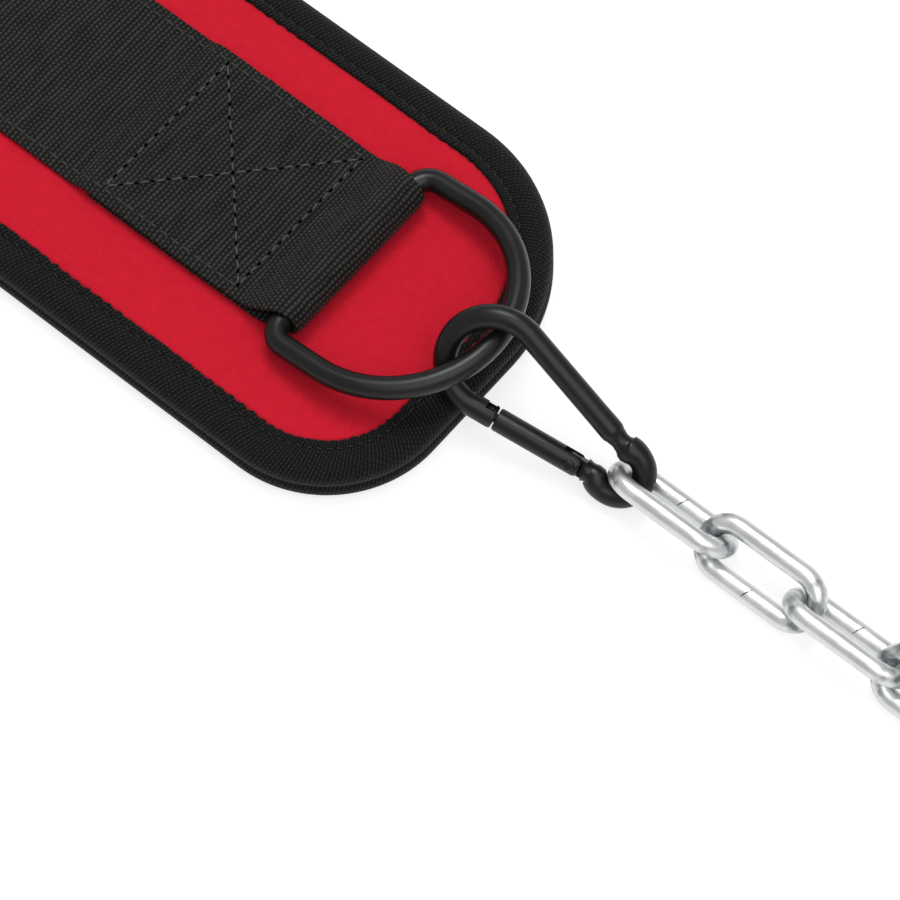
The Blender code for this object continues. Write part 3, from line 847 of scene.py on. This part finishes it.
def build_rings(material):
    """The two D-rings."""
    lift = Matrix.Rotation(-RING_LIFT_BY_HOOK, 4, "Y")
    right = Matrix.Translation((RING_BAR_X, RING_Y, RING_BAR_Z)) @ lift
    drop = asin((RING_BAR_Z - TAPE_TOP - GAP - RING_RADIUS) / RING_REACH)
    turned = Matrix.Rotation(pi, 4, "Z") @ Matrix.Rotation(drop, 4, "Y")
    left = Matrix.Translation((-RING_BAR_X, RING_Y, RING_BAR_Z)) @ turned
    points = ring_points(72)
    for name, solid, body, place in (
        ("ring_by_hook", "d_ring_right", "belt", right),
        ("ring_free", "d_ring_left", "free_ring", left),
    ):
        bm = tube_mesh(points, [RING_RADIUS] * len(points), RING_SIDES, True, UP)
        finish_piece(name, bm, material, body, [solid], place)


def hook_place():
    """The hook's place: its own X runs from the eye to the big end, its Y from the spine to the gate."""
    heading = Matrix.Rotation(pi + HOOK_HEADING, 4, "Z")
    rise = Matrix.Rotation(-HOOK_RISE, 4, "Y")
    roll = Matrix.Rotation(HOOK_ROLL, 4, "X")
    return Matrix.Translation(HOOK_EYE_PLACE) @ heading @ rise @ roll


def gate_line():
    """The gate's middle line in the hook's plane: a point by the big end and the way to the eye."""
    big = Vector((HOOK_CENTRES, HOOK_BIG_RADIUS - HOOK_EYE_SHIFT))
    away = HOOK_GATE_ANGLE + pi / 2
    start = big + Vector((cos(away), sin(away))) * HOOK_BIG_RADIUS
    return start, Vector((-cos(HOOK_GATE_ANGLE), -sin(HOOK_GATE_ANGLE)))


def gate_pivot():
    """The middle of the gate's pin in the hook's plane."""
    start, way = gate_line()
    return start + way * ((start.x - PIVOT_FROM_EYE) / cos(HOOK_GATE_ANGLE))


def spread(points, radii, step):
    """More points along a wire's middle line, by a smooth curve through them."""
    dense = []
    sizes = []
    count = len(points)
    for i in range(count - 1):
        p0 = points[max(0, i - 1)]
        p1 = points[i]
        p2 = points[i + 1]
        p3 = points[min(count - 1, i + 2)]
        parts = max(1, ceil((p2 - p1).length / step))
        for n in range(parts):
            t = n / parts
            a = p1 * 2
            b = (p2 - p0) * t
            c = (p0 * 2 - p1 * 5 + p2 * 4 - p3) * t * t
            d = (p1 * 3 - p0 - p2 * 3 + p3) * t * t * t
            dense.append((a + b + c + d) * 0.5)
            sizes.append(radii[i] + (radii[i + 1] - radii[i]) * smooth_share(t))
    return dense + [points[-1]], sizes + [radii[-1]]


def hook_points():
    """The hook's middle line from its nose round the big end, down the spine and round the eye."""
    way = gate_line()[1]
    pivot = gate_pivot()
    nose = pivot - way * NOSE_FROM_PIVOT
    wire = HOOK_WIRE / 2
    spine = -HOOK_EYE_SHIFT
    big = (HOOK_CENTRES, HOOK_BIG_RADIUS + spine)
    points = [nose, nose - way * 0.0005, nose - way * 0.0016]
    points += arc(big, HOOK_BIG_RADIUS, HOOK_GATE_ANGLE + pi / 2, -pi / 2, 48)
    radii = [wire * 0.9] + [wire] * (len(points) - 1)
    neck = HOOK_EYE_RADIUS * 0.55
    tail = [
        (HOOK_CENTRES - 0.006, 1.0),
        (HOOK_CENTRES - 0.014, 1.0),
        (HOOK_CENTRES - 0.022, 1.0),
        (neck + HOOK_NECK_LENGTH + 0.0022, 1.02),
        (neck + HOOK_NECK_LENGTH + 0.0010, 0.99),
        (neck + HOOK_NECK_LENGTH + 0.0002, 0.88),
        (neck + HOOK_NECK_LENGTH * 0.6, 0.79),
        (neck + HOOK_NECK_LENGTH * 0.32, 0.84),
    ]
    for x, share in tail:
        points.append(Vector((x, spine)))
        radii.append(wire * share)
    eye = arc((0.0, 0.0), HOOK_EYE_RADIUS, -pi / 2 + 0.5, -3 * pi / 2 - 0.45, 40)
    points += eye
    for i in range(len(eye)):
        t = i / (len(eye) - 1)
        start = 0.15 * exp(-((t - 0.03) / 0.09) ** 2)
        end = 0.10 * exp(-((t - 0.94) / 0.07) ** 2)
        radii.append(wire * (1.0 + start + end))
    heel = pivot + way * (GATE_HEEL + 0.0008)
    points += [heel + way * 0.0011, heel]
    radii += [HOOK_NECK_RADIUS * 0.92, GATE_WIDTH / 2]
    return points, radii


def box_mesh(middle, along, size):
    """A box with its length along a way in the hook's plane."""
    bm = bmesh.new()
    turn = Matrix.Rotation(atan2(along.y, along.x), 4, "Z")
    stretch = Matrix.Diagonal((*size, 1.0))
    place = Matrix.Translation((middle.x, middle.y, 0)) @ turn @ stretch
    bmesh.ops.create_cube(bm, size=1.0, matrix=place)
    return bm


def cylinder_mesh(middle, radius, height, sides):
    """A cylinder across the hook's plane."""
    bm = bmesh.new()
    bmesh.ops.create_cone(
        bm, cap_ends=True, segments=sides, radius1=radius, radius2=radius, depth=height,
        matrix=Matrix.Translation((middle.x, middle.y, 0)),
    )
    return bm


def carve(bm, steps):
    """A bmesh after Boolean steps, each a bmesh and UNION or DIFFERENCE."""
    body = mesh_object("scratch", bm)
    for other_mesh, operation in steps:
        other = mesh_object("scratch", other_mesh)
        modifier = body.modifiers.new("step", "BOOLEAN")
        modifier.operation = operation
        modifier.solver = "EXACT"
        modifier.object = other
        bpy.context.view_layer.update()
        graph = bpy.context.evaluated_depsgraph_get()
        result = bpy.data.meshes.new_from_object(body.evaluated_get(graph))
        body.modifiers.clear()
        body.data = result
        bpy.data.objects.remove(other, do_unlink=True)
    made = bmesh.new()
    made.from_mesh(body.data)
    bpy.data.objects.remove(body, do_unlink=True)
    return made


def build_hook(material):
    """The hook's wire, with a tongue for the gate and a slot in its end for the gate's nose."""
    way = gate_line()[1]
    pivot = gate_pivot()
    nose = pivot - way * NOSE_FROM_PIVOT
    inward = Vector((-way.y, way.x))
    points, radii = spread(*hook_points(), HOOK_STEP)
    line = [p.to_3d() for p in points]
    wire = tube_mesh(line, radii, HOOK_SIDES, False, UP, pi / HOOK_SIDES)
    length = GATE_HEEL + 0.0018
    deep = HOOK_WIRE
    neck_end = GATE_NECK_LENGTH - GATE_NOSE_GAP
    pocket_length = GATE_HEAD_LENGTH + 2 * GAP
    tongue = pivot + way * (length / 2)
    neck_slot = nose - way * (neck_end / 2 - 0.001)
    neck_slot += inward * (deep / 2 - GATE_NECK_RADIUS - 2 * GAP)
    pocket = nose - way * (neck_end - GAP + pocket_length / 2)
    pocket += inward * (deep / 2 - GATE_HEAD_RADIUS - GAP)
    body = carve(wire, [
        (box_mesh(tongue, way, (length, 2 * TONGUE_REACH, TONGUE_THICKNESS)), "UNION"),
        (cylinder_mesh(pivot, TONGUE_REACH + 0.0001, TONGUE_THICKNESS - 0.0001, 24), "UNION"),
        (box_mesh(neck_slot, way, (neck_end + 0.002, deep, 2 * (GATE_NECK_RADIUS + GAP))), "DIFFERENCE"),
        (box_mesh(pocket, way, (pocket_length, deep, 2 * (GATE_HEAD_RADIUS + GAP))), "DIFFERENCE"),
    ])
    finish_piece(
        "snap_hook", body, material, "belt", ["hook_body"], hook_place(), radians(38)
    )


def build_gate(material):
    """The gate: a round bar with a mushroom-shaped nose, slotted where it sits over the tongue."""
    pivot = gate_pivot()
    radius = GATE_WIDTH / 2
    end = NOSE_FROM_PIVOT - GATE_NOSE_GAP
    neck = end + GATE_NECK_LENGTH
    bm = bmesh.new()
    rings = []
    for along, size in (
        (-GATE_HEEL, radius * 0.55),
        (-GATE_HEEL * 0.9, radius * 0.8),
        (-GATE_HEEL * 0.7, radius * 0.94),
        (-GATE_HEEL * 0.5, radius * 0.98),
        (-GATE_HEEL * 0.2, radius * 0.98),
        (end - 0.0006, radius * 0.98),
        (end - 0.0002, radius * 0.95),
        (end, radius * 0.86),
        (end, GATE_NECK_RADIUS),
        (neck, GATE_NECK_RADIUS),
        (neck, GATE_HEAD_RADIUS),
        (neck + GATE_HEAD_LENGTH * 0.7, GATE_HEAD_RADIUS),
        (neck + GATE_HEAD_LENGTH, GATE_HEAD_RADIUS * 0.85),
    ):
        axes = Vector((0, size, 0)), Vector((0, 0, size))
        rings.append(oval_ring(bm, Vector((along, 0, 0)), *axes, HOOK_SIDES))
    close_rings(bm, rings)
    slot_length = GATE_HEEL + TONGUE_REACH + 2 * GAP + 0.001
    slot_middle = Vector((TONGUE_REACH + GAP + 0.0001 - slot_length / 2, 0))
    slot_size = (slot_length, 2 * GATE_WIDTH, TONGUE_THICKNESS + 2 * GAP)
    gate = carve(bm, [(box_mesh(slot_middle, Vector((1, 0)), slot_size), "DIFFERENCE")])
    turn = Matrix.Rotation(HOOK_GATE_ANGLE, 4, "Z")
    hinge = hook_place() @ Matrix.Translation((pivot.x, pivot.y, 0)) @ turn
    finish_piece("snap_gate", gate, material, "gate", ["hook_gate"], hinge, radians(38))


def build_rivet(material):
    """The rivet that the gate turns on, with a domed head on each side."""
    pivot = gate_pivot()
    side = GATE_WIDTH / 2 - 0.0001
    dome = ((0.55, 1.0), (0.9, 0.8), (1.0, 0.45), (1.0, 0.0))
    shape = [(side + (PIN_HEAD_HEIGHT + 0.0002) * h, PIN_HEAD_RADIUS * r) for r, h in dome]
    shape.append((side, PIN_RADIUS * 0.95))
    shape = [(-height, size) for height, size in shape] + shape[::-1]
    bm = bmesh.new()
    rings = []
    for height, size in shape:
        axes = Vector((size, 0, 0)), Vector((0, size, 0))
        rings.append(oval_ring(bm, Vector((pivot.x, pivot.y, height)), *axes, PIN_SIDES))
    close_rings(bm, rings)
    finish_piece(
        "snap_rivet", bm, material, "belt", ["gate_pin"], hook_place(), radians(50)
    )


def link_points(steps):
    """A link's middle line, lying in XY with its length on X, and a few points on its bars."""
    radius = LINK_HALF_WIDTH
    bend = LINK_HALF_LENGTH - radius
    bar = [-0.9, -0.6, -0.3, -0.12, -0.04, 0.04, 0.12, 0.3, 0.6, 0.9]
    points = arc((bend, 0), radius, -pi / 2, pi / 2, steps)
    points += [Vector((-bend * t, radius)) for t in bar]
    points += arc((-bend, 0), radius, pi / 2, 3 * pi / 2, steps)
    points += [Vector((bend * t, -radius)) for t in bar]
    return [p.to_3d() for p in points]


def weld_mesh(bar, facing, seed):
    """A weld's slanted ridge over one bar of a link."""
    bm = bmesh.new()
    rings = []
    for i in range(2 * WELD_STEPS + 1):
        t = i / WELD_STEPS - 1
        angle = facing + t * WELD_HALF_SWEEP
        out = Vector((0, cos(angle), sin(angle)))
        ragged = noise.noise(Vector((t * 3.0, seed, 2.0))) * WELD_RAGGED
        middle = Vector((WELD_LEAN * t + ragged, bar * LINK_HALF_WIDTH, 0)) + out * LINK_RADIUS
        size = WELD_RADIUS * (0.25 + 0.75 * cos(t * pi / 2))
        rings.append(oval_ring(bm, middle, out * (size * 0.5), Vector((size, 0, 0)), 6))
    close_rings(bm, rings)
    return bm


def build_chain(zinc, weld):
    """The links, each with a weld across one of its bars."""
    height = LINK_HALF_WIDTH * sin(LINK_ROLL) + LINK_RADIUS
    first = HOOK_EYE_PLACE.x + FIRST_BEND_SHIFT + LINK_HALF_LENGTH
    side = HOOK_EYE_PLACE.y + CHAIN_SIDE_SHIFT
    points = link_points(22)
    radii = [LINK_RADIUS * (0.985 + 0.02 * exp(-(p.x / 0.0011) ** 2)) for p in points]
    for i in range(LINK_COUNT):
        x = first + i * (LINK_INSIDE_LENGTH - GAP)
        roll = LINK_ROLL if i % 2 else -LINK_ROLL
        place = Matrix.Translation((x, side, height)) @ Matrix.Rotation(roll, 4, "X")
        bm = tube_mesh(points, radii, LINK_SIDES, True, UP)
        # How far each vertex lies in a bend: the mask for the zinc's painted dark reflections.
        layer = bm.verts.layers.float.new("bend")
        for index, vert in enumerate(bm.verts):
            along = abs(points[index // LINK_SIDES].x)
            vert[layer] = smooth_share((along - BEND_START) / BEND_FADE)
        solid = f"chain_link_{i + 1}"
        finish_piece(f"zinc_link_{i + 1}", bm, zinc, "belt", [solid], place)
        bar, facing = (-1, radians(66)) if i % 2 else (1, radians(150))
        finish_piece(f"weld_{i + 1}", weld_mesh(bar, facing, i * 5.0), weld, "belt", place=place)


def add_stitch(bm, here, there, lift, radius=THREAD_RADIUS):
    """One stitch: a thread that rises over the cloth from one hole and dips into the next."""
    along = (there - here).normalized()
    side = along.cross(UP).normalized()
    rise = side.cross(along).normalized()
    if rise.z * lift < 0:
        rise = -rise
    rings = []
    for i in range(STITCH_STEPS + 1):
        t = i / STITCH_STEPS
        arch = sin(pi * t)
        middle = here.lerp(there, t) + rise * (abs(lift) * (arch * 1.25 - 0.55))
        size = radius * (0.55 + 0.45 * min(1.0, arch * 2.2))
        rings.append(oval_ring(bm, middle, side * (size * 1.15), rise * size, 5))
    close_rings(bm, rings)


def add_hole(bm, place, along):
    """Painted shade of a needle hole, the dark dimple where two stitches meet: a low oval button on the
    cloth.
    """
    side = along.cross(UP).normalized()
    rise = side.cross(along).normalized()
    axes = along * (HOLE_RADIUS * 1.9), side * HOLE_RADIUS
    rim = oval_ring(bm, place - rise * HOLE_SINK, *axes, 8)
    top = [bm.verts.new(place + (v.co - place) * 0.7 + rise * HOLE_RISE) for v in rim]
    close_rings(bm, [rim, top])


def stitch_spans(count, shown):
    """Where each stitch of a row starts and ends, as shares of the row."""
    return [((i + 0.5 - shown / 2) / count, (i + 0.5 + shown / 2) / count) for i in range(count)]


def sew_line(bm, holes, start, end):
    """A straight row of the box's stitches, with the painted shade of a needle hole before each."""
    along = (end - start).normalized()
    side = along.cross(UP)
    count = round((end - start).length / BOX_STITCH)
    for i, (a, b) in enumerate(stitch_spans(count, BOX_STITCH_SHOWN)):
        here = start.lerp(end, a)
        shift = side * (noise.noise(here * 400.0) * BOX_STITCH_WANDER)
        add_stitch(bm, here + shift, start.lerp(end, b) - shift * 0.5, BOX_STITCH_LIFT)
        add_hole(holes, start.lerp(end, i / count) + shift + UP * STITCH_SINK, along)


def web_top(x):
    """Height of the strap's upper face where it lies on the belt or on itself."""
    past_step = (WEB_FOLD - WEB_RETURN - GAP - abs(x)) / WEB_STEP_LENGTH
    return WEB_HIGH + (WEB_LOW - WEB_HIGH) * smooth_share(past_step) + WEB_THICKNESS / 2


def build_box_stitching(thread, dark):
    """The box at each end of the strap: its two rows across and its cross."""
    z = WEB_HIGH + WEB_THICKNESS / 2 - STITCH_SINK
    y0 = WEB_SIDE_SHIFT - BOX_HALF
    y1 = WEB_SIDE_SHIFT + BOX_HALF
    for name, sign in (("box_stitching_hook_end", 1), ("box_stitching_far_end", -1)):
        bm = bmesh.new()
        holes = bmesh.new()
        near = sign * (WEB_FOLD - BOX_NEAR)
        far = sign * (WEB_FOLD - BOX_FAR)
        corners = [Vector((near, y0, z)), Vector((near, y1, z)), Vector((far, y1, z)), Vector((far, y0, z))]
        for a, b in ((0, 1), (2, 3), (0, 2), (1, 3)):
            sew_line(bm, holes, corners[a], corners[b])
        finish_piece(name, bm, thread, "belt")
        # The holes are dark buttons of painted shade.
        finish_piece(name + "_holes", holes, dark, "belt")


def build_edge_stitching(thread):
    """A row of stitches along each edge of the strap, between the two boxes' near sides."""
    bm = bmesh.new()
    reach = WEB_FOLD - BOX_NEAR
    count = int(2 * reach / EDGE_STITCH)
    for side in (-1, 1):
        y = WEB_SIDE_SHIFT + side * (WEB_WIDTH / 2 - EDGE_STITCH_INSET)
        for shares in stitch_spans(count, EDGE_STITCH_SHOWN):
            a, b = (reach * (2 * share - 1) for share in shares)
            wander = noise.noise(Vector((a * 300, side, 0))) * EDGE_STITCH_WANDER
            ends = [Vector((x, y + wander, web_top(x) - EDGE_STITCH_SINK)) for x in (a, b)]
            add_stitch(bm, *ends, EDGE_STITCH_LIFT)
    finish_piece("strap_edge_stitching", bm, thread, "belt")


def tape_seam_point(outline, turn, z):
    """The tape's stitch line at a share of the way round the edge."""
    points, inward, _, total = outline
    spot = turn * len(points)
    i = floor(spot)
    k = (i + 1) % len(points)
    p = points[i].lerp(points[k], spot - i)
    n = inward[i].lerp(inward[k], spot - i)
    inset = TAPE_COVER - TAPE_LIP + STITCH_SINK + lip_wave(turn * total) * 0.9
    return Vector((p.x + n.x * inset, p.y + n.y * inset, z))


def build_tape_stitching(outline, thread):
    """The tape's row of stitches, on its outer and on its inner face."""
    count = round(outline[3] / TAPE_STITCH)
    for name, z, side in (
        ("tape_stitching_outer", PADDING_TOP - STITCH_SINK, 1),
        ("tape_stitching_inner", TAPE_STITCH_LOW, -1),
    ):
        bm = bmesh.new()
        for shares in stitch_spans(count, TAPE_STITCH_SHOWN):
            ends = [tape_seam_point(outline, share, z) for share in shares]
            add_stitch(bm, *ends, TAPE_STITCH_LIFT * side, TAPE_THREAD_RADIUS)
        finish_piece(name, bm, thread, "belt")


def add_floor():
    """A plain pale floor just under the belt, bright enough to read as white."""
    material, _, shader = new_material("pale_floor", 0.9, 0.0, 0.0)
    fill(shader, {"Base Color": (0.32, 0.32, 0.32, 1.0), "Emission Strength": 0.72})
    fill(shader, {"Emission Color": (1.0, 1.0, 1.0, 1.0)})
    bm = bmesh.new()
    bmesh.ops.create_grid(bm, x_segments=1, y_segments=1, size=4.0)
    obj = mesh_object("floor", bm)
    obj.data.materials.append(material)
    obj.location = (0, 0, -0.0004)


def aim(obj, place, way):
    """Put a light or camera at a place, looking along a way."""
    obj.location = place
    obj.rotation_euler = way.to_track_quat("-Z", "Y").to_euler()


def add_light(name, place, target, size, power):
    """A soft square light that looks at a point."""
    light = bpy.data.lights.new(name, "AREA")
    light.shape = "SQUARE"
    light.size = size
    light.energy = power
    aim(link_object(name, light), Vector(place), Vector(target) - Vector(place))


def add_lights():
    """Plain soft studio light: a pale world, a key overhead and a broad one from the hook's side."""
    world = bpy.data.worlds.new("studio")
    world.use_nodes = True
    background = world.node_tree.nodes["Background"]
    background.inputs["Color"].default_value = (1.0, 1.0, 1.0, 1.0)
    background.inputs["Strength"].default_value = 0.54
    bpy.context.scene.world = world
    middle = (0.38, 0.0, 0.0)
    add_light("key", (0.05, 0.34, 1.38), middle, 0.6, 11.5)
    add_light("side", (0.95, -0.25, 1.25), middle, 1.3, 11.0)


def add_camera():
    """The camera at the photograph's angle and distance."""
    azimuth = radians(39.71)
    elevation = radians(62.80)
    distance = 1.0147
    target = Vector((0.39617, -0.01619, 0.0))
    away = Vector((sin(azimuth) * cos(elevation), -cos(azimuth) * cos(elevation), sin(elevation)))
    camera = bpy.data.cameras.new("photo_camera")
    camera.lens = 180.0
    camera.sensor_width = 36.0
    camera.sensor_fit = "HORIZONTAL"
    camera.clip_start = 0.05
    camera.clip_end = 50.0
    obj = link_object("photo_camera", camera)
    aim(obj, target + away * distance, -away)
    bpy.context.scene.camera = obj


def main():
    """Dress the frame."""
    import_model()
    scene = bpy.context.scene
    scene.view_settings.view_transform = "Standard"
    scene.view_settings.look = "None"
    add_camera()
    add_floor()
    add_lights()
    outline = belt_outline()
    red = knit_material("red_neoprene_knit", (0.33, 0.0026, 0.010), (0.57, 0.010, 0.028))[0]
    build_panel("outer_padding", outline, red, True, "outer_panel")
    build_panel("inner_padding", outline, inner_knit_material(), False, "inner_panel")
    build_tape(outline, tape_material())
    build_webbing(webbing_material())
    coating = black_metal_material()
    build_rings(coating)
    build_hook(coating)
    build_gate(coating)
    build_rivet(coating)
    build_chain(zinc_material(), grained("weld_seam"))
    build_box_stitching(grained("strap_thread"), grained("needle_hole_shade"))
    build_edge_stitching(grained("edge_thread"))
    build_tape_stitching(outline, grained("tape_thread"))


main()
